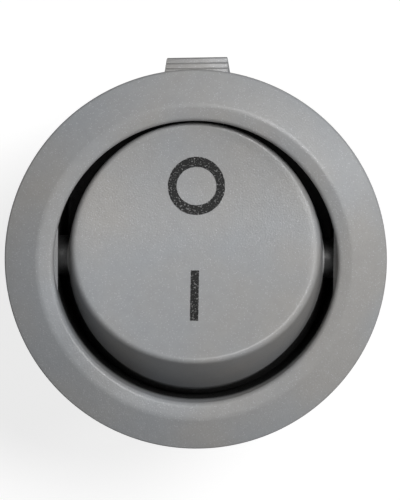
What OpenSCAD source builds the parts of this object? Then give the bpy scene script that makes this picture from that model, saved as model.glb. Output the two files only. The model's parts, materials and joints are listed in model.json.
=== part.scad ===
// Round snap-in panel rocker switch, single pole, on/off.
// The origin is the centre of the bezel's seat on the panel. +Z points out of the panel,
// +Y points to the off mark and X is the rocker's tilt axis. All sizes are in millimetres.

/* [Bezel] */
// Outer diameter of the bezel
bezel_d = 23; // [22.6:0.1:26]
// Height of the bezel's crest above the panel
bezel_h = 1.5; // [1.4:0.05:2]
// Diameter of the bezel's crest
crest_d = 19; // [18.4:0.1:20]
// Height of the upright rim at the bezel's outer edge
rim_h = 0.5; // [0.3:0.05:0.7]
// Drop from the crest to the edge of the opening
opening_drop = 0.1; // [0.05:0.05:0.3]
// Diameter of the opening that the rocker stands in
opening_d = 17.1; // [16.95:0.05:17.4]
// Rounding of the crest
crest_round = 0.8; // [0.2:0.05:1]
// Rounding of the rim
rim_round = 0.2; // [0.1:0.05:0.25]
// Rounding of the opening's edge
opening_round = 0.3; // [0.2:0.05:0.4]

/* [Barrel] */
// Diameter of the barrel that goes through the panel
barrel_d = 19.9; // [19.8:0.05:20.1]
// Length of the barrel behind the panel
barrel_len = 10.8; // [10.4:0.1:11.4]
// Diameter of the narrower rear end
rear_d = 19.3; // [18.8:0.1:19.4]
// Depth of the closed body behind the panel
body_depth = 13.1; // [12.4:0.1:14.4]
// Thickness of the rear floor
floor_t = 1.6; // [1.2:0.1:2]
// Chamfer around the rear end
rear_chamfer = 0.4; // [0.2:0.1:0.8]
// Distance between the two flat cheeks that carry the pivots
cheek_gap = 16.6; // [16.3:0.05:16.8]
// Drop from the opening's edge to the top of the cheeks
cheek_drop = 1; // [0.9:0.05:1.1]

/* [Snap wings] */
// Width of a wing
wing_w = 4.1; // [3:0.1:4.6]
// How much narrower a wing is at its outer edge
wing_taper = 0.2; // [0:0.05:0.6]
// Distance from the seat to the tip of a wing
wing_start = 1.4; // [1:0.1:1.8]
// Distance from the barrel's axis to the first riser
wing_first = 11.1; // [10.7:0.05:11.15]
// Depth of one ratchet tread
tread = 0.26; // [0.15:0.01:0.35]
// Height of one ratchet riser
riser = 0.8; // [0.5:0.05:0.9]
// Number of treads
treads = 3; // [2:1:4]
// Thickness of a wing
wing_t = 1.15; // [0.8:0.05:1.3]
// Thickness of a wing at its tip
wing_tip_t = 0.6; // [0.4:0.05:0.8]
// Height of a wing's root on the barrel
wing_root = 0.8; // [0.6:0.1:1.2]
// Gap around a wing in its pocket
wing_gap = 0.25; // [0.15:0.05:0.4]
// Depth of the pocket behind a wing
pocket_depth = 0.8; // [0.6:0.05:0.9]
// Depth of the relief over a wing's tip in the bezel
tip_relief = 0.3; // [0.2:0.05:0.35]
// Gap between the first riser and the relief's outer side
tip_gap = 0.1; // [0.05:0.05:0.15]

/* [Rocker] */
// Full tilt from the off stop to the on stop, in degrees
throw = 38; // [34:1:39]
// Depth of the pivot axis below the seat
pivot_drop = 1.5; // [1.45:0.05:1.9]
// Diameter of the rocker's face, across its middle
face_d = 14.94; // [14.5:0.02:15]
// Height of the face's middle above the pivot axis
face_h = 3.1; // [2.8:0.05:3.15]
// Radius of the concave face
dish_r = 18.5; // [17:0.5:30]
// Slope of the rocker's side, in degrees
side_draft = 6; // [4:0.5:6]
// Depth of the skirt's foot below the pivot axis
skirt_drop = 2.4; // [1.8:0.1:2.5]
// Thickness of the skirt
skirt_t = 1; // [0.7:0.05:1.2]
// Thickness of the cap under the middle of the face
cap_t = 1.4; // [1:0.1:1.6]
// Thickness of the webs between the tube and the skirt
web_t = 0.8; // [0.6:0.1:1.2]
// Diameter of the pivot pins
pin_d = 2.4; // [2:0.1:2.6]
// Clearance around a pivot pin
pin_clearance = 0.05; // [0.03:0.01:0.1]
// Distance from the end of a pivot pin to the barrel's surface
pin_inset = 0.45; // [0.3:0.05:0.8]
// Chamfer at the end of a pivot pin
pin_chamfer = 0.3; // [0.1:0.05:0.4]
// Gap between the skirt's foot and its stop
stop_gap = 0.05; // [0.03:0.01:0.15]
// Width of the two tilt stops and of the blade's rest
stop_w = 3; // [2:0.5:4]
// Height of a tilt stop
stop_h = 2.4; // [1.6:0.1:3]
// How far the skirt's foot reaches over its stop
stop_reach = 0.3; // [0.2:0.05:0.35]

/* [Marks] */
// Outer diameter of the ring mark
ring_d = 3.42; // [3:0.02:4]
// Stroke width of the ring mark
ring_stroke = 0.5; // [0.3:0.01:0.6]
// Width of the bar mark
bar_w = 0.48; // [0.3:0.01:0.6]
// Distance from the face's middle to the ring's centre
ring_at = 3.6; // [3.2:0.05:4]
// Distance from the face's middle to the bar's centre
bar_at = 3.05; // [2.9:0.05:3.6]
// Length of the bar mark
bar_len = 3.15; // [2.6:0.05:3.6]
// Thickness of the printed ink
ink_t = 0.03; // [0.02:0.01:0.05]

/* [Plunger] */
// Gap between the plunger's tip and the level blade
nose_gap = 0.1; // [0.05:0.05:0.3]
// Diameter of the plunger
plunger_d = 3; // [2.6:0.1:3.2]
// Diameter of the plunger's round nose
nose_d = 1.6; // [1.4:0.1:1.8]
// Length of the plunger's cup above its cone
cup_len = 4; // [3.4:0.1:4.4]
// Wall of the plunger's cup
cup_wall = 0.4; // [0.3:0.05:0.45]
// Sliding clearance between the plunger and the tube
slide_clearance = 0.06; // [0.03:0.01:0.1]
// Wall of the rocker's spring tube
tube_wall = 0.8; // [0.6:0.05:1]
// How far the plunger's tip stands out of the tube
nose_out = 2.1; // [1.9:0.1:2.5]
// Wire diameter of the spring
wire_d = 0.28; // [0.2:0.02:0.34]
// Clearance around and at the ends of the spring
spring_clearance = 0.1; // [0.05:0.01:0.15]
// Turns of the spring
spring_turns = 9; // [6:1:10]

/* [Contact blade] */
// Half of the blade's swing, in degrees
blade_tilt = 9; // [8:0.5:9.5]
// Height of the blade's pivot above the rear floor
blade_up = 2.15; // [2:0.05:2.15]
// Thickness of the blade
blade_t = 0.5; // [0.4:0.05:0.6]
// Width of the blade
blade_w = 3.5; // [3:0.1:3.7]
// Length of the blade
blade_len = 12.4; // [12:0.1:12.8]
// Half length of the blade's flat middle
blade_flat = 0.5; // [0.5:0.05:0.7]
// Distance from the blade's middle to the outer end of its sloping arm
blade_rise_to = 2.9; // [2.7:0.1:3.2]
// Slope of the blade's arms, in degrees
blade_slope = 19; // [17:0.5:19]
// Width of the pivot lugs along the blade
lug_w = 0.8; // [0.6:0.05:0.9]
// Length of a pivot lug beyond the blade's side
lug_len = 1.1; // [0.9:0.05:1.1]
// Gap between the blade and its cradle or its rest
blade_gap = 0.06; // [0.04:0.01:0.12]
// Distance from the blade's middle to the outer edge of its rest
rest_at = 5.4; // [5:0.1:6]
// Length of the rest along the blade
rest_len = 0.8; // [0.6:0.1:1.2]

/* [Contacts] */
// Distance from the blade's middle to its contact
contact_at = 4.7; // [4.5:0.05:4.75]
// Diameter of the contacts
contact_d = 2; // [1.6:0.1:2]
// Height of the moving contact
contact_h = 0.5; // [0.4:0.05:0.55]
// Radius of the moving contact's dome
dome_r = 2.5; // [2:0.1:4]
// Diameter of the contacts' shanks
shank_d = 0.9; // [0.7:0.1:0.9]
// Clearance around a contact's shank
shank_clearance = 0.02; // [0.01:0.01:0.05]
// Diameter of the riveted head on the moving contact
head_d = 1.8; // [1.5:0.1:2]
// Height of that riveted head
head_h = 0.25; // [0.15:0.05:0.35]
// Gap between the closed contacts
contact_gap = 0.04; // [0.02:0.01:0.1]

/* [Terminals] */
// Width of a terminal tab
tab_w = 4.8; // [4.4:0.1:5]
// Thickness of the terminal strip
tab_t = 0.8; // [0.7:0.05:0.8]
// Length of a tab behind the body
tab_len = 7.5; // [6.5:0.1:9]
// Chamfer at a tab's end
tab_chamfer = 0.9; // [0.5:0.1:1.2]
// Diameter of the wire hole in a tab
hole_d = 1.6; // [1.2:0.1:2]
// Distance from a tab's end to its wire hole
hole_at = 2.6; // [2:0.1:3.5]
// Distance from the body's axis to the switched tab
switched_at = 6; // [5.9:0.05:6.1]
// Length of the switched terminal's arm
arm_len = 2.4; // [2.4:0.1:2.8]
// Length of the common terminal's foot
foot_len = 3; // [2.6:0.1:3.4]
// Gap between the cradle's ears and the blade
ear_gap = 0.25; // [0.15:0.05:0.3]
// Height of the cradle's ears above the blade's pivot
ear_rise = 0.2; // [0.1:0.05:0.3]
// Half angle of the cradle's notches, in degrees
notch_half = 60; // [55:1:62]
// Clearance around a tab in its slot
slot_clearance = 0.05; // [0.03:0.01:0.1]

/* [Hidden] */

// Extra length that takes a cut through a face
cut = 1;
// Finer facets for what shows, coarser ones for what is inside
$fn = 96;
fine = 192;
small = 48;

opening_h = bezel_h - opening_drop;
opening_r = opening_d / 2;
bezel_r = bezel_d / 2;
crest_r = crest_d / 2;
barrel_r = barrel_d / 2;
rear_r = rear_d / 2;
floor_top = floor_t - body_depth;
cheek_top = opening_h - cheek_drop;

// Wings: the pocket's floor, and the outermost riser with its lower end
pocket_y = barrel_r - pocket_depth;
pocket_w = wing_w + 2 * wing_gap;
wing_out = wing_first + treads * tread;
wing_low = wing_start + (treads + 1) * riser;

// Rocker, in its own frame with the pivot axis at the origin
tilt = throw / 2;
foot_r = side_r(-skirt_drop);
dish_h = face_h + dish_r;
ceiling_h = face_h - cap_t;
pin_r = pin_d / 2;
pin_end = barrel_r - pin_inset;
tube_bore_r = plunger_d / 2 + slide_clearance;
tube_r = tube_bore_r + tube_wall;

// The skirt's foot at its stop
foot_y = foot_r * cos(tilt) - skirt_drop * sin(tilt);
stop_top = -pivot_drop - foot_r * sin(tilt) - skirt_drop * cos(tilt) - stop_gap;

// The blade's pivot below the seat, and the plunger's tip and the tube's mouth below the rocker's pivot
blade_drop = -floor_top - blade_up;
plunger_reach = blade_drop - blade_t / 2 - pivot_drop - nose_gap;
tube_reach = plunger_reach - nose_out;

// Plunger and spring, along the tube
nose_r = nose_d / 2;
cup_r = plunger_d / 2;
cup_bore_r = cup_r - cup_wall;
nose_at = nose_r - plunger_reach;
cup_low = nose_at + cup_r - nose_r;
cup_floor = cup_low + cup_wall;
coil_r = cup_bore_r - spring_clearance - wire_d / 2;
coil_low = cup_floor + spring_clearance + wire_d / 2;
coil_high = ceiling_h - spring_clearance - wire_d / 2;

// Heights on the blade's outer arms, counted from its pivot
arm_under = (blade_rise_to - blade_flat) * tan(blade_slope) - blade_t / 2;
arm_over = arm_under + blade_t;
// Centre and lowest point of the moving contact's dome when the contacts are closed
dome_at = arm_under - contact_h + dome_r;
closed_y = contact_at * cos(blade_tilt) + dome_at * sin(blade_tilt);
closed_z = dome_at * cos(blade_tilt) - contact_at * sin(blade_tilt) - dome_r - blade_drop;
fixed_top = closed_z - contact_gap;
rest_top = arm_under / cos(blade_tilt) - rest_at * tan(blade_tilt) - blade_drop - blade_gap;

// Cradle: the lug's lower corner at full tilt sets the depth of the notch
ear_in = blade_w / 2 + ear_gap;
ear_out = ear_in + tab_t;
lug_y = lug_w / 2 * cos(blade_tilt) - blade_t / 2 * sin(blade_tilt);
lug_z = lug_w / 2 * sin(blade_tilt) + blade_t / 2 * cos(blade_tilt);
notch_z = -blade_drop - lug_z - lug_y / tan(notch_half) - blade_gap;
common_at = (foot_len - tab_t) / 2;
tab_end = -body_depth - tab_len;

// Radius of the rocker's side at a height above the pivot axis
function side_r(h) = face_d / 2 + (face_h - h) * tan(side_draft);
function unit(v) = v / norm(v);

// Moves a piece of the rocker to the pivot and tilts it to the off stop
module on_rocker() {
    translate([0, 0, -pivot_drop]) rotate([-tilt, 0, 0]) children();
}

// Moves a piece of the blade to its pivot and tilts it to the off rest
module on_blade() {
    translate([0, 0, -blade_drop]) rotate([blade_tilt, 0, 0]) children();
}

// A cylinder along X from x = from to x = to, with its axis at z = up
module x_rod(r, from, to, up) {
    translate([from, 0, up]) rotate([0, 90, 0]) cylinder(r = r, h = to - from, $fn = fine);
}

// A profile drawn as [y, z] and extruded along X, centred on x = 0
module across(w) {
    translate([-w / 2, 0, 0]) rotate([90, 0, 90]) linear_extrude(w) children();
}

// A box centred on x = 0 between two [y, z] corners
module slab(w, low, high) {
    translate([-w / 2, low[0], low[1]]) cube([w, high[0] - low[0], high[1] - low[1]]);
}

// The sliver outside a round of radius r at corner p, between neighbours a and b
module sliver(a, p, b, r) {
    u = unit(a - p);
    v = unit(b - p);
    half = acos(u * v) / 2;
    difference() {
        polygon([p, p + u * r / tan(half), p + v * r / tan(half)]);
        translate(p + unit(u + v) * r / sin(half)) circle(r = r);
    }
}

// ---- Housing ----

module bezel() {
    seat = [bezel_r, 0];
    rim = [bezel_r, rim_h];
    crest = [crest_r, bezel_h];
    edge = [opening_r, opening_h];
    inner = [opening_r, 0];
    rotate_extrude($fn = fine) difference() {
        polygon([seat, rim, crest, edge, inner]);
        sliver(seat, rim, crest, rim_round);
        sliver(rim, crest, edge, crest_round);
        sliver(crest, edge, inner, opening_round);
    }
}

module barrel() {
    translate([0, 0, -barrel_len]) cylinder(r = barrel_r, h = barrel_len, $fn = fine);
    translate([0, 0, rear_chamfer - body_depth])
        cylinder(r = rear_r, h = body_depth - barrel_len, $fn = fine);
    translate([0, 0, -body_depth])
        cylinder(r1 = rear_r - rear_chamfer, r2 = rear_r, h = rear_chamfer, $fn = fine);
}

// The hollow body: round at the opening, with two flat cheeks below it
module well() {
    intersection() {
        translate([0, 0, floor_top]) cylinder(r = opening_r, h = cheek_top - floor_top, $fn = fine);
        slab(cheek_gap, [-opening_r - cut, floor_top - cut], [opening_r + cut, cheek_top + cut]);
    }
    translate([0, 0, cheek_top]) cylinder(r = opening_r, h = bezel_h, $fn = fine);
}

// Pocket in the barrel behind a wing, with the relief for the wing's tip in the bezel
module wing_pocket() {
    slab(pocket_w, [pocket_y, wing_root - barrel_len], [barrel_r + cut, 0]);
    slab(pocket_w, [pocket_y, -cut], [wing_first + tip_gap, tip_relief]);
}

// A wing: treads and risers towards the panel, and a long slope towards the rear
module wing() {
    steps = [for (i = [0 : treads], end = [0, 1])
        [wing_first + i * tread, -wing_start - (i + end) * riser]];
    intersection() {
        across(wing_w) polygon(concat(
            [[wing_first - wing_tip_t, -wing_start]],
            steps,
            [[barrel_r, -barrel_len], [pocket_y - wing_gap, -barrel_len],
             [pocket_y - wing_gap, wing_root - barrel_len],
             [pocket_y + wing_gap, wing_root - barrel_len],
             [wing_out - wing_t, -wing_low]]));
        translate([0, 0, -barrel_len - cut]) linear_extrude(barrel_len) polygon([
            [-wing_w / 2, 0], [wing_w / 2, 0], [wing_w / 2, barrel_r],
            [wing_w / 2 - wing_taper, wing_out], [wing_taper - wing_w / 2, wing_out],
            [-wing_w / 2, barrel_r]]);
    }
}

// Bracket on the body's wall that stops the skirt's foot
module tilt_stop() {
    intersection() {
        slab(stop_w, [foot_y - stop_reach, stop_top - stop_h], [barrel_r, stop_top]);
        translate([0, 0, -body_depth]) cylinder(r = (opening_r + rear_r) / 2, h = body_depth);
    }
}

module housing() {
    color("#a5a39f") {
        difference() {
            union() {
                bezel();
                barrel();
            }
            well();
            x_rod(pin_r + pin_clearance, -bezel_r, bezel_r, -pivot_drop);
            for (side = [0, 1]) mirror([0, side, 0]) wing_pocket();
            for (at = [-common_at, switched_at]) tab_slot(at);
        }
        for (side = [0, 1]) mirror([0, side, 0]) {
            wing();
            tilt_stop();
        }
        slab(stop_w, [-rest_at, floor_top - floor_t / 2], [rest_len - rest_at, rest_top]);
    }
}

// Slot in the floor for a tab whose middle lies at y = at
module tab_slot(at) {
    slab(tab_w + 2 * slot_clearance,
        [at - tab_t / 2 - slot_clearance, -body_depth - cut],
        [at + tab_t / 2 + slot_clearance, floor_top + cut]);
}

// ---- Rocker ----

// The rocker's solid outline, up to the highest point of its face
module rocker_blank() {
    top = face_h + face_d / 2;
    translate([0, 0, -skirt_drop])
        cylinder(r1 = foot_r, r2 = side_r(top), h = top + skirt_drop, $fn = fine);
}

// Everything above the concave surface that lies down below the face
module dish(down) {
    translate([0, 0, dish_h]) x_rod(dish_r + down, -bezel_r, bezel_r, 0);
}

// The hollow under the cap, between the skirt's walls
module rocker_hollow() {
    top = face_h + cut;
    difference() {
        translate([0, 0, -skirt_drop - cut]) cylinder(
            r1 = side_r(-skirt_drop - cut) - skirt_t, r2 = side_r(top) - skirt_t,
            h = top + skirt_drop + cut, $fn = fine);
        dish(cap_t);
    }
}

// Webs that tie the tube to the skirt, one pair along X behind the pins and one pair along Y
module webs() {
    reach = side_r(face_h) - skirt_t / 2;
    difference() {
        union() {
            slab(2 * reach, [-web_t / 2, -pin_r], [web_t / 2, face_h]);
            slab(web_t, [-reach, 0], [reach, face_h + cap_t]);
        }
        dish(cap_t / 2);
    }
}

module pivot_pins() {
    for (side = [0, 1]) mirror([side, 0, 0]) {
        x_rod(pin_r, side_r(0) - skirt_t, pin_end - pin_chamfer, 0);
        translate([pin_end - pin_chamfer, 0, 0]) rotate([0, 90, 0])
            cylinder(r1 = pin_r, r2 = pin_r - pin_chamfer, h = pin_chamfer);
    }
}

module rocker() {
    color("#a5a39f") on_rocker() difference() {
        union() {
            difference() {
                rocker_blank();
                dish(0);
                rocker_hollow();
            }
            webs();
            translate([0, 0, -tube_reach]) cylinder(r = tube_r, h = tube_reach + ceiling_h + cap_t / 2);
            pivot_pins();
        }
        translate([0, 0, -tube_reach - cut]) cylinder(r = tube_bore_r, h = tube_reach + ceiling_h + cut);
    }
}

// ---- Printed marks ----

// A film of ink on the concave face, inside the outline that is its child
module ink() {
    color("#2c2b2a") on_rocker() intersection() {
        difference() {
            dish(0);
            dish(-ink_t);
        }
        translate([0, 0, face_h - cut]) linear_extrude(2 * cut) children();
    }
}

module off_mark() {
    ink() translate([0, ring_at]) difference() {
        circle(d = ring_d);
        circle(d = ring_d - 2 * ring_stroke);
    }
}

module on_mark() {
    ink() translate([0, -bar_at]) square([bar_w, bar_len], center = true);
}

// ---- Plunger and spring ----

module plunger() {
    color("#e8e4da") on_rocker() difference() {
        union() {
            translate([0, 0, nose_at]) sphere(r = nose_r, $fn = small);
            translate([0, 0, nose_at]) cylinder(r1 = nose_r, r2 = cup_r, h = cup_low - nose_at);
            translate([0, 0, cup_low]) cylinder(r = cup_r, h = cup_len);
        }
        translate([0, 0, cup_floor]) cylinder(r = cup_bore_r, h = cup_len);
    }
}

// A closed tube of wire swept along a helix, with its ends at the spring's seats
module plunger_spring() {
    sides = 8;
    rings = 20 * spring_turns;
    rise = (coil_high - coil_low) / rings;
    points = [for (i = [0 : rings], j = [0 : sides - 1])
        let (turn = 18 * i, round = 360 * j / sides, out = coil_r + wire_d / 2 * cos(round))
        [out * cos(turn), out * sin(turn), coil_low + rise * i + wire_d / 2 * sin(round)]];
    walls = [for (i = [0 : rings - 1], j = [0 : sides - 1])
        let (a = i * sides + j, b = i * sides + (j + 1) % sides)
        [a, a + sides, b + sides, b]];
    ends = [[for (j = [0 : sides - 1]) j],
        [for (j = [0 : sides - 1]) (rings + 1) * sides - 1 - j]];
    color("#b9bbbd") on_rocker() polyhedron(points, concat(walls, ends));
}

// ---- Contact blade ----

module contact_blade() {
    half = blade_len / 2;
    upper = [[half, arm_over], [blade_rise_to, arm_over], [blade_flat, blade_t / 2]];
    lower = [[blade_flat, -blade_t / 2], [blade_rise_to, arm_under], [half, arm_under]];
    color("#c9a45c") on_blade() difference() {
        union() {
            for (side = [0, 1]) mirror([0, side, 0]) across(blade_w)
                polygon(concat([[0, -blade_t / 2]], lower, upper, [[0, blade_t / 2]]));
            slab(blade_w + 2 * lug_len, [-lug_w / 2, -blade_t / 2], [lug_w / 2, blade_t / 2]);
        }
        translate([0, contact_at, 0]) cylinder(d = shank_d + 2 * shank_clearance, h = arm_over + cut);
    }
}

module moving_contact() {
    face = arm_under - contact_h;
    color("#d4d4d2") on_blade() translate([0, contact_at, 0]) {
        intersection() {
            translate([0, 0, face]) cylinder(d = contact_d, h = contact_h);
            translate([0, 0, dome_at]) sphere(r = dome_r);
        }
        translate([0, 0, face + contact_h / 2]) cylinder(d = shank_d, h = contact_h / 2 + blade_t + head_h);
        translate([0, 0, arm_over]) cylinder(d = head_d, h = head_h);
    }
}

module fixed_contact() {
    color("#d4d4d2") translate([0, closed_y, 0]) {
        translate([0, 0, floor_top + tab_t]) cylinder(d = contact_d, h = fixed_top - floor_top - tab_t);
        translate([0, 0, floor_top]) cylinder(d = shank_d, h = tab_t);
    }
}

// ---- Terminals ----

// A strip with a flat foot on the floor between y = 0 and y = reach, bent down at y = 0 into a tab.
// The tab's outer face lies at y = 0.
module strip(foot_w, reach) {
    slab(foot_w, [tab_t, floor_top], [reach, floor_top + tab_t]);
    intersection() {
        translate([0, tab_t, floor_top]) x_rod(tab_t, -foot_w / 2, foot_w / 2, 0);
        slab(foot_w, [0, floor_top], [tab_t, floor_top + tab_t]);
    }
    difference() {
        translate([0, tab_t, 0]) rotate([90, 0, 0]) linear_extrude(tab_t) polygon([
            [tab_w / 2, floor_top], [tab_w / 2, tab_end + tab_chamfer],
            [tab_w / 2 - tab_chamfer, tab_end], [tab_chamfer - tab_w / 2, tab_end],
            [-tab_w / 2, tab_end + tab_chamfer], [-tab_w / 2, floor_top]]);
        translate([0, tab_t + cut, tab_end + hole_at]) rotate([90, 0, 0])
            cylinder(d = hole_d, h = tab_t + 2 * cut);
    }
}

module common_terminal() {
    half = foot_len / 2;
    color("#c2b280") {
        translate([0, -half, 0]) strip(2 * ear_out, foot_len);
        difference() {
            for (side = [0, 1]) mirror([side, 0, 0]) translate([ear_in, tab_t - half, floor_top])
                cube([tab_t, foot_len - tab_t, ear_rise - blade_drop - floor_top]);
            across(2 * ear_out + cut) polygon([[0, notch_z],
                [foot_len, notch_z + foot_len / tan(notch_half)],
                [-foot_len, notch_z + foot_len / tan(notch_half)]]);
        }
    }
}

module switched_terminal() {
    color("#c2b280") translate([0, switched_at + tab_t / 2, 0]) mirror([0, 1, 0]) difference() {
        strip(tab_w, arm_len);
        translate([0, switched_at + tab_t / 2 - closed_y, floor_top - cut])
            cylinder(d = shank_d + 2 * shank_clearance, h = tab_t + 2 * cut);
    }
}

housing();
rocker();
off_mark();
on_mark();
plunger();
plunger_spring();
contact_blade();
moving_contact();
fixed_contact();
common_terminal();
switched_terminal();
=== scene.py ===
import json
import math
import bmesh
import bpy
from mathutils import Matrix, Vector, noise


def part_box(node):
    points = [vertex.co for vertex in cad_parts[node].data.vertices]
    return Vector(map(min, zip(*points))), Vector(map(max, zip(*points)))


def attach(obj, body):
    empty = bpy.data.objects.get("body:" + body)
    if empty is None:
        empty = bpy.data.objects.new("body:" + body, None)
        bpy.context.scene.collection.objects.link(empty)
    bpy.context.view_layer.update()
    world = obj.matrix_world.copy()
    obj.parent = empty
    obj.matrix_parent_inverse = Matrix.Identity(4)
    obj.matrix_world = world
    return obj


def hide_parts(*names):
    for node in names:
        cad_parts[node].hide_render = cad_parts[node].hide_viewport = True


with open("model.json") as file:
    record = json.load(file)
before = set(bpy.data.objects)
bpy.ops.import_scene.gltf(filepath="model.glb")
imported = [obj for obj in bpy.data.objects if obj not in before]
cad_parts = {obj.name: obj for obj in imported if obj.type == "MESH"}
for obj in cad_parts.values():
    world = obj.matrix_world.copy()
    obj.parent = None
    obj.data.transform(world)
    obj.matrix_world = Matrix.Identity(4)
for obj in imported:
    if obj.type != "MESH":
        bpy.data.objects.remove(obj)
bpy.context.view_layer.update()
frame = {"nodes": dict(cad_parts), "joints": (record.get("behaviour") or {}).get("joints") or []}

# Pieces are modelled in millimetres and brought to metres when they are finished
mm = 0.001
fullTurn = 2 * math.pi
tiltJoint = next(joint for joint in frame["joints"] if joint["name"] == "rocker_tilt")
pivotHeight = tiltJoint["pos_m"][2] / mm
sharpAngle = math.radians(32)      # edges that bend more than this stay crisp
weld = 0.0005                      # points closer than this are one point, in millimetres
restTilt = math.radians(tiltJoint["range_deg"][1] - tiltJoint["range_deg"][0]) / 2
housingLow, housingHigh = (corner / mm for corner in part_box("housing"))
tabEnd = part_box("common_terminal")[0].z
rockerPlace = Matrix.Translation((0, 0, pivotHeight)) @ Matrix.Rotation(-restTilt, 4, "X")


# A socket of a material's tree, with Python's operators as its Math nodes
class Signal:
    def __init__(self, shader, socket):
        self.shader = shader
        self.socket = socket

    def maths(self, operation, first, second):
        return self.shader.node("ShaderNodeMath", {"operation": operation}, {0: first, 1: second})

    def __add__(self, other):
        return self.maths("ADD", self, other)

    def __sub__(self, other):
        return self.maths("SUBTRACT", self, other)

    def __rsub__(self, other):
        return self.maths("SUBTRACT", other, self)

    def __mul__(self, other):
        return self.maths("MULTIPLY", self, other)

    def __gt__(self, other):
        return self.maths("GREATER_THAN", self, other)

    def __lt__(self, other):
        return self.maths("LESS_THAN", self, other)

    __radd__ = __add__
    __rmul__ = __mul__


class Shader:
    def __init__(self, name, world=False):
        self.material = (bpy.data.worlds if world else bpy.data.materials).new(name)
        self.material.use_nodes = True
        self.tree = self.material.node_tree
        self.tree.nodes.clear()
        output = "ShaderNodeOutputWorld" if world else "ShaderNodeOutputMaterial"
        self.output = self.tree.nodes.new(output)
        if world:
            bpy.context.scene.world = self.material

    def node(self, kind, settings, inputs, output=0):
        made = self.tree.nodes.new(kind)
        for name, value in settings.items():
            setattr(made, name, value)
        for name, value in inputs.items():
            if isinstance(value, Signal):
                self.tree.links.new(value.socket, made.inputs[name])
            else:
                made.inputs[name].default_value = value
        return Signal(self, made.outputs[output])

    # Object coordinates in millimetres
    def place(self):
        raw = self.node("ShaderNodeTexCoord", {}, {}, "Object")
        return self.node("ShaderNodeMapping", {}, {"Vector": raw, "Scale": (1 / mm,) * 3})

    # Noise between about 0 and 1, with this many lumps to a millimetre
    def grain(self, place, perMillimetre, detail=2.0, roughness=0.5):
        return self.node("ShaderNodeTexNoise", {"noise_dimensions": "3D"}, {
            "Vector": place, "Scale": perMillimetre, "Detail": detail, "Roughness": roughness})

    # Shares a value's range out again, so that low comes out as 0 and high as 1
    def spread(self, value, low, high):
        return self.node("ShaderNodeMapRange", {"clamp": True}, {
            "Value": value, "From Min": low, "From Max": high})

    def blend(self, share, first, second):
        return self.node("ShaderNodeMix", {"data_type": "RGBA"}, {0: share, 6: first, 7: second}, 2)

    def surface(self, inputs):
        shaded = self.node("ShaderNodeBsdfPrincipled", {}, inputs)
        self.finish(shaded)
        return self.material

    def finish(self, shaded):
        self.tree.links.new(shaded.socket, self.output.inputs["Surface"])


def grey(value):
    return (value, value, value, 1.0)


nylonLook = {
    "cool": (0.345, 0.357, 0.372, 1.0),
    "warm": (0.368, 0.360, 0.350, 1.0),
    # painted glints: the lighter base colour of random flecks that stand in for sparkle of light off the
    # moulded grain
    "glint": (0.51, 0.515, 0.53, 1.0),
    "toneLumps": 0.16,       # lumps per millimetre of the slow drift in tone
    "toneLow": 0.35, "toneHigh": 0.65,
    "mottleDark": 0.86, "mottleLight": 1.13,
    "mottleLumps": 1.6,
    "grainLumps": 10.0,
    "glintCells": 12.0,
    "glintShare": 0.8,       # cells above this random value hold a glint
    "glintSize": 0.34,
    # painted shade in the gaps: the height where it begins, the height where it is full, and its colour
    "paintedShadeTop": 0.5, "paintedShadeFoot": -0.3, "paintedShadeTone": 0.02,
    "roughness": 0.36,
    "roughnessSwing": 0.2,
    "grainHeight": 0.015 * mm,
}


# Painted shade: the gap between the two given radii is painted darker, down to nearly black, below a
# given height, whatever the light, because shading alone leaves the pivot pins and the ledges in plain
# sight
def greyNylon(name, look, paintedShadeRadii):
    shader = Shader(name)
    place = shader.place()
    tone = shader.spread(shader.grain(place, look["toneLumps"]), look["toneLow"], look["toneHigh"])
    mottle = shader.grain(place, look["mottleLumps"], 3.0)
    grain = shader.grain(place, look["grainLumps"], 2.0, 0.6)
    base = shader.blend(tone, look["cool"], look["warm"])
    shade = shader.blend((mottle + grain) * 0.5, grey(look["mottleDark"]), grey(look["mottleLight"]))
    base = shader.node("ShaderNodeMix", {"data_type": "RGBA", "blend_type": "MULTIPLY"},
                       {0: 1.0, 6: base, 7: shade}, 2)
    cells = {"Vector": place, "Scale": look["glintCells"]}
    near = shader.node("ShaderNodeTexVoronoi", {}, cells, "Distance")
    draw = shader.node("ShaderNodeTexVoronoi", {}, cells, "Color")
    draw = shader.node("ShaderNodeSeparateColor", {}, {0: draw})
    glint = (draw > look["glintShare"]) * (near < look["glintSize"])
    rough = (grain - 0.5) * look["roughnessSwing"] + look["roughness"]
    height = shader.node("ShaderNodeSeparateXYZ", {}, {0: place}, "Z")
    flat = shader.node("ShaderNodeVectorMath", {"operation": "MULTIPLY"}, {0: place, 1: (1, 1, 0)})
    around = shader.node("ShaderNodeVectorMath", {"operation": "LENGTH"}, {0: flat}, "Value")
    low, high = paintedShadeRadii
    inGap = (around > low) * (around < high)
    # painted shade, growing from nothing at the top of the gap to full at its foot
    paintedShade = shader.spread(height, look["paintedShadeTop"], look["paintedShadeFoot"]) * inGap
    bump = shader.node("ShaderNodeBump", {}, {
        "Height": grain + mottle * 0.5, "Strength": 1.0, "Distance": look["grainHeight"]})
    # painted glints: random cells get a lighter base colour, standing in for sparkle of light off the
    # grain
    withPaintedGlints = shader.blend(glint, base, look["glint"])
    return shader.surface({
        "Base Color": shader.blend(paintedShade, withPaintedGlints, grey(look["paintedShadeTone"])),
        "Roughness": rough * (1 - glint * 0.4),
        "Normal": bump,
        "Specular IOR Level": 0.4,
    })


inkLook = {
    "black": grey(0.008), "speckle": grey(0.3),
    "speckLumps": 10.0, "bareFrom": 0.57, "bareTo": 0.66,
    "roughness": 0.6, "grainHeight": 0.008 * mm,
}


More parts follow.
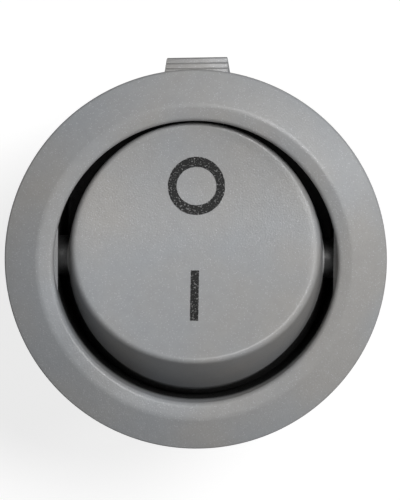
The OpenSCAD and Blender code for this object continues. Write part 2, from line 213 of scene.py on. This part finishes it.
def padInk(name, look):
    shader = Shader(name)
    place = shader.place()
    grain = shader.grain(place, look["speckLumps"], 3.0, 0.7)
    bare = shader.spread(grain, look["bareFrom"], look["bareTo"])
    bump = shader.node("ShaderNodeBump", {}, {
        "Height": grain, "Strength": 1.0, "Distance": look["grainHeight"]})
    return shader.surface({
        "Base Color": shader.blend(bare, look["black"], look["speckle"]),
        "Roughness": look["roughness"] - bare * 0.2,
        "Specular IOR Level": 0.2,
        "Normal": bump,
    })


metalLooks = {
    "terminalBrass": {
        "bright": (0.80, 0.66, 0.38, 1.0), "dull": (0.60, 0.47, 0.25, 1.0), "roughness": 0.30},
    "bladeBrass": {
        "bright": (0.78, 0.58, 0.26, 1.0), "dull": (0.58, 0.40, 0.16, 1.0), "roughness": 0.28},
    "contactSilver": {
        "bright": (0.86, 0.86, 0.85, 1.0), "dull": (0.62, 0.61, 0.60, 1.0), "roughness": 0.24},
    "springSteel": {
        "bright": (0.66, 0.67, 0.68, 1.0), "dull": (0.46, 0.46, 0.47, 1.0), "roughness": 0.26},
}


def stampedMetal(name, look):
    shader = Shader(name)
    place = shader.place()
    drawn = shader.node("ShaderNodeMapping", {}, {"Vector": place, "Scale": (6.0, 6.0, 0.5)})
    scratch = shader.grain(drawn, 3.0, 3.0, 0.6)
    stain = shader.spread(shader.grain(place, 0.7, 3.0), 0.4, 0.7)
    bump = shader.node("ShaderNodeBump", {}, {
        "Height": scratch, "Strength": 0.6, "Distance": 0.006 * mm})
    return shader.surface({
        "Base Color": shader.blend(stain, look["bright"], look["dull"]),
        "Metallic": 1.0,
        "Roughness": stain * 0.16 + scratch * 0.12 + look["roughness"] - 0.06,
        "Normal": bump,
    })


plungerLook = {"light": (0.78, 0.76, 0.70, 1.0), "dark": (0.66, 0.63, 0.56, 1.0)}


def naturalNylon(name, look):
    shader = Shader(name)
    place = shader.place()
    cloud = shader.grain(place, 1.2, 3.0)
    bump = shader.node("ShaderNodeBump", {}, {
        "Height": shader.grain(place, 9.0), "Strength": 0.5, "Distance": 0.004 * mm})
    return shader.surface({
        "Base Color": shader.blend(cloud, look["dark"], look["light"]),
        "Roughness": cloud * 0.15 + 0.35,
        "Normal": bump,
    })


# Makes an object of a mesh that is still in millimetres
def draft(name, bm):
    bmesh.ops.recalc_face_normals(bm, faces=bm.faces)
    mesh = bpy.data.meshes.new(name)
    bm.to_mesh(mesh)
    bm.free()
    piece = bpy.data.objects.new(name, mesh)
    bpy.context.scene.collection.objects.link(piece)
    return piece


# Joins, cuts or intersects a piece with another, which is used up
def combine(piece, other, operation):
    change = piece.modifiers.new(operation, "BOOLEAN")
    change.operation = operation
    change.solver = "EXACT"
    change.object = other
    depsgraph = bpy.context.evaluated_depsgraph_get()
    mesh = bpy.data.meshes.new_from_object(piece.evaluated_get(depsgraph))
    piece.modifiers.clear()
    piece.data = mesh
    bpy.data.objects.remove(other)


# Brings a draft to metres, smooths it between its sharp edges and gives it its finish and its body
def finishPiece(piece, body, material, replaced):
    bm = bmesh.new()
    bm.from_mesh(piece.data)
    bmesh.ops.remove_doubles(bm, verts=bm.verts, dist=weld)
    bmesh.ops.scale(bm, vec=Vector((mm, mm, mm)), verts=bm.verts)
    bm.to_mesh(piece.data)
    bm.free()
    piece.data.shade_smooth()
    piece.data.set_sharp_from_angle(angle=sharpAngle)
    piece.data.materials.clear()
    piece.data.materials.append(material)
    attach(piece, body)
    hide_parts(*replaced)
    print(f"{piece.name}: {len(piece.data.vertices)} vertices, {len(piece.data.polygons)} faces")
    return piece


# A solid of revolution about Z. Each corner of the open profile is (radius, height, rounding)
def revolved(bm, corners, steps):
    verts = [bm.verts.new((radius, 0, height)) for radius, height, _ in corners]
    for low, high in zip(verts, verts[1:]):
        bm.edges.new((low, high))
    offsets = []
    for i, (_, _, rounding) in enumerate(corners):
        if rounding:
            here = verts[i].co
            before = (verts[i - 1].co - here).normalized()
            after = (verts[i + 1].co - here).normalized()
            offsets.append((verts[i], rounding / math.tan(before.angle(after) / 2)))
    for vert, offset in offsets:
        bmesh.ops.bevel(bm, geom=[vert], offset=offset, offset_type="OFFSET", segments=6,
                        profile=0.5, affect="VERTICES", material=-1)
    bmesh.ops.spin(bm, geom=bm.verts[:] + bm.edges[:], cent=(0, 0, 0), axis=(0, 0, 1),
                   angle=fullTurn, steps=steps, use_merge=True)
    bmesh.ops.remove_doubles(bm, verts=bm.verts, dist=weld)


def box(low, high):
    bm = bmesh.new()
    bmesh.ops.create_cube(bm, size=1)
    bmesh.ops.scale(bm, vec=Vector(high) - Vector(low), verts=bm.verts)
    bmesh.ops.translate(bm, vec=(Vector(low) + Vector(high)) / 2, verts=bm.verts)
    return bm


# A round rod along X
def rodAlongX(radius, start, end):
    bm = bmesh.new()
    bmesh.ops.create_cone(bm, cap_ends=True, segments=64, radius1=radius, radius2=radius,
                          depth=end - start, matrix=Matrix.Rotation(math.pi / 2, 4, "Y"))
    bmesh.ops.translate(bm, vec=((start + end) / 2, 0, 0), verts=bm.verts)
    return bm


housing = {
    "crestRadius": 9.5, "crestRound": 0.65,
    "rimHeight": 0.5, "rimRound": 0.2,
    "openingRadius": 8.52, "openingDrop": 0.06, "openingRound": 0.3,
    "barrelRadius": 9.95, "barrelLength": 10.8,
    "rearRadius": 9.65, "rearChamfer": 0.4,
    "floor": 1.6,
    "cheekGap": 16.6, "cheekDrop": 1.04,
    "pinHole": 1.25,
    "wingWidth": 4.1, "wingTaper": 0.2, "wingShift": 0.1, "wingSlant": 0.1,
    "wingStart": 1.4, "wingFirst": 11.1,
    "tread": 0.26, "riser": 0.8, "treads": 3, "wingWall": 1.15, "wingTip": 0.6,
    "wingRoot": 0.8, "wingGap": 0.25, "pocketDepth": 0.8, "tipRelief": 0.3, "tipGap": 0.1,
    "wingEdge": 0.06, "wingCorner": 20, "wingOverlap": 1.0,
    "cheekHalf": 1.9,
    "bite": 0.3, "cheekSunk": 0.5, "stopSunk": 0.4,     # how far ribs are sunk into what they grow from
    "slotCut": 1.0, "reliefFoot": 0.5,
    "stopWidth": 3.0, "stopInner": 6.51, "stopTop": -6.43, "stopHeight": 2.4,
    "restFar": 5.4, "restLength": 0.8, "restTop": -9.68,
    "tabWidth": 4.8, "tabThickness": 0.8, "slotGap": 0.05,
    "steps": 224,
}


def wingSolid(h):
    pocket = h["barrelRadius"] - h["pocketDepth"]
    out = h["wingFirst"] + h["treads"] * h["tread"]
    outline = [(h["wingFirst"] - h["wingTip"], -h["wingStart"])]
    for i in range(h["treads"] + 1):
        for end in (0, 1):
            outline.append((h["wingFirst"] + i * h["tread"], -h["wingStart"] - (i + end) * h["riser"]))
    root = h["wingRoot"] - h["barrelLength"]
    outline += [(h["barrelRadius"], -h["barrelLength"]), (pocket - h["wingGap"], -h["barrelLength"]),
                (pocket - h["wingGap"], root), (pocket + h["wingGap"], root),
                (out - h["wingWall"], outline[-1][1])]
    bm = bmesh.new()
    verts = [bm.verts.new((-h["wingWidth"] / 2, y, z)) for y, z in outline]
    side = bm.faces.new(verts)
    pulled = bmesh.ops.extrude_face_region(bm, geom=[side])
    moved = [v for v in pulled["geom"] if isinstance(v, bmesh.types.BMVert)]
    bmesh.ops.translate(bm, vec=(h["wingWidth"], 0, 0), verts=moved)
    for vert in bm.verts:
        share = max(0.0, (vert.co.y - h["barrelRadius"]) / (out - h["barrelRadius"]))
        across = vert.co.x / (h["wingWidth"] / 2)
        vert.co.y -= share * h["wingSlant"] * (1 - across) / 2
        vert.co.x -= across * share * h["wingTaper"] + h["wingShift"]
    bmesh.ops.recalc_face_normals(bm, faces=bm.faces)
    corners = [e for e in bm.edges if e.calc_face_angle() > math.radians(h["wingCorner"])]
    bmesh.ops.bevel(bm, geom=corners, offset=h["wingEdge"], segments=2, profile=0.5,
                    affect="EDGES", material=-1, clamp_overlap=True)
    return bm


def bothSides(bm):
    twin = bmesh.ops.duplicate(bm, geom=bm.verts[:] + bm.edges[:] + bm.faces[:])
    verts = [v for v in twin["geom"] if isinstance(v, bmesh.types.BMVert)]
    bmesh.ops.rotate(bm, cent=(0, 0, 0), matrix=Matrix.Rotation(math.pi, 3, "Z"), verts=verts)
    return bm


def makeHousing(h):
    bezelRadius, bezelHeight, depth = housingHigh.x, housingHigh.z, housingLow.z
    openingTop = bezelHeight - h["openingDrop"]
    floorTop = depth + h["floor"]
    cheekTop = openingTop - h["cheekDrop"]
    bm = bmesh.new()
    revolved(bm, [
        (0, depth, 0),
        (h["rearRadius"] - h["rearChamfer"], depth, 0.1),
        (h["rearRadius"], depth + h["rearChamfer"], 0.1),
        (h["rearRadius"], -h["barrelLength"], 0.05),
        (h["barrelRadius"], -h["barrelLength"], 0.08),
        (h["barrelRadius"], 0, 0),
        (bezelRadius, 0, 0.06),
        (bezelRadius, h["rimHeight"], h["rimRound"]),
        (h["crestRadius"], bezelHeight, h["crestRound"]),
        (h["openingRadius"], openingTop, h["openingRound"]),
        (h["openingRadius"], floorTop, 0),
        (0, floorTop, 0)], h["steps"])
    piece = draft("housing_shell", bm)

    # Flat cheeks, tilt stops and the blade's rest inside
    cheek = h["cheekGap"] / 2
    for side in (-1, 1):
        low, high = sorted((side * cheek, side * (h["openingRadius"] + h["cheekSunk"])))
        rib = box((low, -h["cheekHalf"], floorTop - h["bite"]), (high, h["cheekHalf"], cheekTop))
        combine(piece, draft("cheek", rib), "UNION")
        low, high = sorted((side * h["stopInner"], side * (h["openingRadius"] + h["stopSunk"])))
        stop = box((-h["stopWidth"] / 2, low, h["stopTop"] - h["stopHeight"]),
                   (h["stopWidth"] / 2, high, h["stopTop"]))
        combine(piece, draft("stop", stop), "UNION")
    rest = box((-h["stopWidth"] / 2, -h["restFar"], floorTop - h["bite"]),
               (h["stopWidth"] / 2, h["restLength"] - h["restFar"], h["restTop"]))
    combine(piece, draft("rest", rest), "UNION")

    # Pockets and reliefs behind the wings, pivot holes and tab slots
    pocketWidth = h["wingWidth"] + 2 * h["wingGap"]
    pocket = h["barrelRadius"] - h["pocketDepth"]
    hollow = bothSides(box((-pocketWidth / 2, pocket, h["wingRoot"] - h["barrelLength"]),
                           (pocketWidth / 2, h["barrelRadius"] + h["wingOverlap"], 0)))
    combine(piece, draft("pocket", hollow), "DIFFERENCE")
    relief = bothSides(box((-pocketWidth / 2, pocket, -h["reliefFoot"]),
                           (pocketWidth / 2, h["wingFirst"] + h["tipGap"], h["tipRelief"])))
    combine(piece, draft("relief", relief), "DIFFERENCE")
    hole = rodAlongX(h["pinHole"], -h["barrelRadius"] - h["slotCut"], h["barrelRadius"] + h["slotCut"])
    bmesh.ops.translate(hole, vec=(0, 0, pivotHeight), verts=hole.verts)
    combine(piece, draft("hole", hole), "DIFFERENCE")
    for node in ("common_terminal", "switched_terminal"):
        low, high = (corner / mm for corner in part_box(node))
        outer = low.y if node == "common_terminal" else high.y - h["tabThickness"]
        slot = box((-h["tabWidth"] / 2 - h["slotGap"], outer - h["slotGap"], depth - h["slotCut"]),
                   (h["tabWidth"] / 2 + h["slotGap"], outer + h["tabThickness"] + h["slotGap"],
                    floorTop + h["slotCut"]))
        combine(piece, draft("slot", slot), "DIFFERENCE")

    # The two sprung wings
    combine(piece, draft("wings", bothSides(wingSolid(h))), "UNION")
    return piece


rocker = {
    "faceRadius": 7.47, "faceHeight": 3.1, "dishRadius": 18.5, "draft": 6,
    "edgeRound": 0.8,
    "skirtDrop": 2.4, "skirtWall": 1.0, "capWall": 1.4,
    "web": 0.8,
    "pinRadius": 1.2, "pinEnd": 9.5, "pinChamfer": 0.3,
    "tubeBore": 1.56, "tubeWall": 0.8, "tubeReach": 5.4,
    "warpStart": 0.2, "warpEnd": 1.2,
    "faceRings": 22, "wallRings": 10, "webCuts": 16, "webTop": 0.7, "steps": 224,
}


# How far the concave face lies above its own middle at a distance along Y
def dishRise(r, y):
    return r["dishRadius"] - math.sqrt(r["dishRadius"] ** 2 - y * y)


# Lifts what was modelled under a flat face to the concave one, sliding it along the tapered side
def bendToDish(bm, r):
    taper = math.tan(math.radians(r["draft"]))
    for vert in bm.verts:
        share = (vert.co.z - r["warpStart"]) / (r["warpEnd"] - r["warpStart"])
        share = min(max(share, 0.0), 1.0)
        rise = dishRise(r, vert.co.y) * share
        reach = vert.co.xy.length
        if reach:
            vert.co.xy *= 1 - rise * taper / r["faceRadius"]
        vert.co.z += rise


def makeRocker(r):
    taper = math.tan(math.radians(r["draft"]))
    foot = r["faceRadius"] + (r["faceHeight"] + r["skirtDrop"]) * taper
    ceiling = r["faceHeight"] - r["capWall"]
    ceilingRadius = r["faceRadius"] + r["capWall"] * taper - r["skirtWall"]
    ring = [i / r["faceRings"] for i in range(r["faceRings"])]
    side = [i / r["wallRings"] for i in range(1, r["wallRings"])]
    bm = bmesh.new()
    outer = [(r["faceRadius"] * t, r["faceHeight"], 0) for t in ring]
    wall = [(r["faceRadius"] + (foot - r["faceRadius"]) * t,
             r["faceHeight"] - (r["faceHeight"] + r["skirtDrop"]) * t, 0) for t in side]
    inner = [(foot - r["skirtWall"] + (ceilingRadius - foot + r["skirtWall"]) * t,
              -r["skirtDrop"] + (ceiling + r["skirtDrop"]) * t, 0) for t in side]
    under = [(ceilingRadius * t, ceiling, 0) for t in reversed(ring)]
    revolved(bm, outer + [(r["faceRadius"], r["faceHeight"], r["edgeRound"])] + wall
             + [(foot, -r["skirtDrop"], 0.1), (foot - r["skirtWall"], -r["skirtDrop"], 0.1)]
             + inner + [(ceilingRadius, ceiling, 0)] + under, r["steps"])
    bendToDish(bm, r)
    piece = draft("rocker_cap", bm)

    # Webs, spring tube and pivot pins
    reach = ceilingRadius + r["skirtWall"] / 2
    top = ceiling + r["webTop"]
    for low, high in (((-reach, -r["web"] / 2, -r["pinRadius"]), (reach, r["web"] / 2, top)),
                      ((-r["web"] / 2, -reach, 0), (r["web"] / 2, reach, top))):
        web = box(low, high)
        bmesh.ops.subdivide_edges(web, edges=web.edges, cuts=r["webCuts"], use_grid_fill=True)
        bendToDish(web, r)
        combine(piece, draft("web", web), "UNION")
    tube = bmesh.new()
    tubeTop = ceiling + r["capWall"] / 2
    bmesh.ops.create_cone(tube, cap_ends=True, segments=96, radius1=r["tubeBore"] + r["tubeWall"],
                          radius2=r["tubeBore"] + r["tubeWall"], depth=tubeTop + r["tubeReach"],
                          matrix=Matrix.Translation((0, 0, (tubeTop - r["tubeReach"]) / 2)))
    combine(piece, draft("tube", tube), "UNION")
    bore = bmesh.new()
    bmesh.ops.create_cone(bore, cap_ends=True, segments=96, radius1=r["tubeBore"], radius2=r["tubeBore"],
                          depth=ceiling + r["tubeReach"] + 1,
                          matrix=Matrix.Translation((0, 0, (ceiling - r["tubeReach"] - 1) / 2)))
    combine(piece, draft("bore", bore), "DIFFERENCE")
    for turn in (0, math.pi):
        pin = rodAlongX(r["pinRadius"], r["faceRadius"] - r["skirtWall"], r["pinEnd"])
        rims = [e for e in pin.edges if all(v.co.x > r["pinEnd"] - 0.01 for v in e.verts)]
        bmesh.ops.bevel(pin, geom=rims, offset=r["pinChamfer"], segments=2, profile=0.5,
                        affect="EDGES", material=-1)
        bmesh.ops.rotate(pin, cent=(0, 0, 0), matrix=Matrix.Rotation(turn, 3, "Z"), verts=pin.verts)
        combine(piece, draft("pin", pin), "UNION")
    piece.data.transform(rockerPlace)
    return piece


marks = {
    "ringAt": 3.6, "ringShift": 0.025, "ringRadius": 1.71, "ringStroke": 0.51, "ringSquash": 0.94,
    "barAt": -3.07, "barLength": 3.15, "barWidth": 0.49,
    "ink": 0.03, "ragged": 0.018, "raggedLumps": 9.0, "seed": 4,
    "rings": 6, "steps": 240,
}


# Wavers a flat print's edge, lays it on the concave face and gives it its thickness
def layInk(bm, m, r):
    noise.seed_set(m["seed"])
    for vert in bm.verts:
        if vert.is_boundary:
            lump = noise.noise_vector(vert.co * m["raggedLumps"])
            vert.co.xy += lump.xy * m["ragged"]
    for vert in bm.verts:
        vert.co.z = r["faceHeight"] + dishRise(r, vert.co.y)
    bmesh.ops.recalc_face_normals(bm, faces=bm.faces)
    if sum(face.normal.z for face in bm.faces) < 0:
        bmesh.ops.reverse_faces(bm, faces=bm.faces)
    bmesh.ops.solidify(bm, geom=bm.faces[:], thickness=-m["ink"])
    bmesh.ops.transform(bm, matrix=rockerPlace, verts=bm.verts)


def makeRing(m, r):
    bm = bmesh.new()
    bmesh.ops.create_circle(bm, segments=m["steps"], radius=m["ringRadius"])
    inner = bmesh.ops.create_circle(bm, segments=m["steps"], radius=m["ringRadius"] - m["ringStroke"])
    bmesh.ops.scale(bm, vec=(1, m["ringSquash"], 1), verts=inner["verts"])
    bmesh.ops.bridge_loops(bm, edges=bm.edges[:])
    across = [e for e in bm.edges
              if abs(e.verts[0].co.length - e.verts[1].co.length) > m["ringStroke"] / 2]
    bmesh.ops.subdivide_edges(bm, edges=across, cuts=m["rings"] - 1)
    bmesh.ops.translate(bm, vec=(m["ringShift"], m["ringAt"], 0), verts=bm.verts)
    layInk(bm, m, r)
    return draft("ring_print", bm)


def makeBar(m, r):
    bm = bmesh.new()
    bmesh.ops.create_grid(bm, x_segments=8, y_segments=64, size=0.5)
    bmesh.ops.scale(bm, vec=(m["barWidth"], m["barLength"], 1), verts=bm.verts)
    bmesh.ops.translate(bm, vec=(0, m["barAt"], 0), verts=bm.verts)
    layInk(bm, m, r)
    return draft("bar_print", bm)


# each nylon gets painted shade between these two radii
housingFinish = greyNylon("housing nylon", nylonLook, (6.5, 8.6))
rockerFinish = greyNylon("rocker nylon", nylonLook, (7.75, 8.7))
inkFinish = padInk("pad ink", inkLook)
finishPiece(makeHousing(housing), "body", housingFinish, ["housing"])
finishPiece(makeRocker(rocker), "rocker", rockerFinish, ["rocker"])
finishPiece(makeRing(marks, rocker), "rocker", inkFinish, ["off_mark"])
finishPiece(makeBar(marks, rocker), "rocker", inkFinish, ["on_mark"])

cadFinishes = {
    "plunger": naturalNylon("natural nylon", plungerLook),
    "plunger_spring": stampedMetal("spring steel", metalLooks["springSteel"]),
    "contact_blade": stampedMetal("blade brass", metalLooks["bladeBrass"]),
    "moving_contact": stampedMetal("contact silver", metalLooks["contactSilver"]),
    "fixed_contact": stampedMetal("fixed contact silver", metalLooks["contactSilver"]),
    "common_terminal": stampedMetal("terminal brass", metalLooks["terminalBrass"]),
    "switched_terminal": stampedMetal("switched terminal brass", metalLooks["terminalBrass"]),
}
for node, material in cadFinishes.items():
    slots = frame["nodes"][node].data.materials
    slots.clear()
    slots.append(material)
print("pieces are in place")


studio = {
    "lamps": {
        "low_key": {"direction": 24, "height": 33, "strength": 0.6, "spread": 12},
        "high_key": {"direction": 45, "height": 62, "strength": 2.0, "spread": 18},
    },
    "fill": 0.075, "fillLean": (0.3, 0.0, 0.0),     # the fill grows towards this side
    "floorSize": 3.0, "floorColour": grey(0.3), "floorLift": 0.8,
}


# Soft fill from all round, a little stronger from one side, under a white backdrop
def makeWorld(s):
    shader = Shader("studio world", world=True)
    towards = shader.node("ShaderNodeTexCoord", {}, {}, "Generated")
    lean = shader.node("ShaderNodeVectorMath", {"operation": "DOT_PRODUCT"}, {
        0: towards, 1: s["fillLean"]}, "Value")
    fill = shader.node("ShaderNodeMapRange", {}, {
        "Value": lean, "From Min": -1.0, "To Max": 2 * s["fill"]})
    backdrop = shader.node("ShaderNodeLightPath", {}, {}, "Is Camera Ray")
    for name in ("Is Glossy Ray", "Is Transmission Ray"):
        backdrop = backdrop.maths("MAXIMUM", backdrop, shader.node("ShaderNodeLightPath", {}, {}, name))
    strength = shader.node("ShaderNodeMix", {}, {0: backdrop, 2: fill, 3: 1.0})
    shader.finish(shader.node("ShaderNodeBackground", {}, {"Color": grey(1.0), "Strength": strength}))


def makeFloor(s):
    bm = bmesh.new()
    bmesh.ops.create_grid(bm, x_segments=1, y_segments=1, size=s["floorSize"] / 2)
    bmesh.ops.translate(bm, vec=(0, 0, tabEnd), verts=bm.verts)
    floor = draft("floor", bm)
    shader = Shader("studio floor")
    rays = shader.node("ShaderNodeLightPath", {}, {}, "Is Camera Ray")
    paper = shader.node("ShaderNodeBsdfDiffuse", {}, {"Color": s["floorColour"]})
    lift = shader.node("ShaderNodeEmission", {}, {"Color": grey(1.0), "Strength": rays * s["floorLift"]})
    both = shader.node("ShaderNodeAddShader", {}, {0: paper, 1: lift})
    shader.finish(both)
    floor.data.materials.append(shader.material)


def makeLamp(name, lamp):
    light = bpy.data.lights.new(name, "SUN")
    light.energy = lamp["strength"]
    light.angle = math.radians(lamp["spread"])
    holder = bpy.data.objects.new(name, light)
    around, up = math.radians(lamp["direction"]), math.radians(lamp["height"])
    towards = Vector((math.cos(around) * math.cos(up), math.sin(around) * math.cos(up), math.sin(up)))
    holder.rotation_euler = towards.to_track_quat("Z", "Y").to_euler()
    holder.location = towards
    bpy.context.scene.collection.objects.link(holder)


view = {
    "lean": 7.7, "side": 1.0, "roll": 0.5, "distance": 0.220,
    "lens": 263, "sensor": 36, "aim": (0.252 * mm, 0.591 * mm, 0),
}


def makeCamera(v):
    camera = bpy.data.cameras.new("camera")
    camera.lens = v["lens"]
    camera.sensor_width = v["sensor"]
    camera.clip_start, camera.clip_end = 0.01, 10
    holder = bpy.data.objects.new("camera", camera)
    lean, side = math.radians(v["lean"]), math.radians(v["side"])
    back = Vector((math.sin(side), math.sin(lean), math.cos(lean) * math.cos(side))).normalized()
    across = Vector((0, 1, 0)).cross(back).normalized()
    turned = Matrix((across, back.cross(across), back)).transposed().to_4x4()
    holder.location = Vector(v["aim"]) + back * v["distance"]
    holder.rotation_euler = (turned @ Matrix.Rotation(math.radians(v["roll"]), 4, "Z")).to_euler()
    bpy.context.scene.collection.objects.link(holder)
    bpy.context.scene.camera = holder


makeWorld(studio)
makeFloor(studio)
for name, lamp in studio["lamps"].items():
    makeLamp(name, lamp)
makeCamera(view)
bpy.context.scene.view_settings.view_transform = "Standard"
print("studio is set")
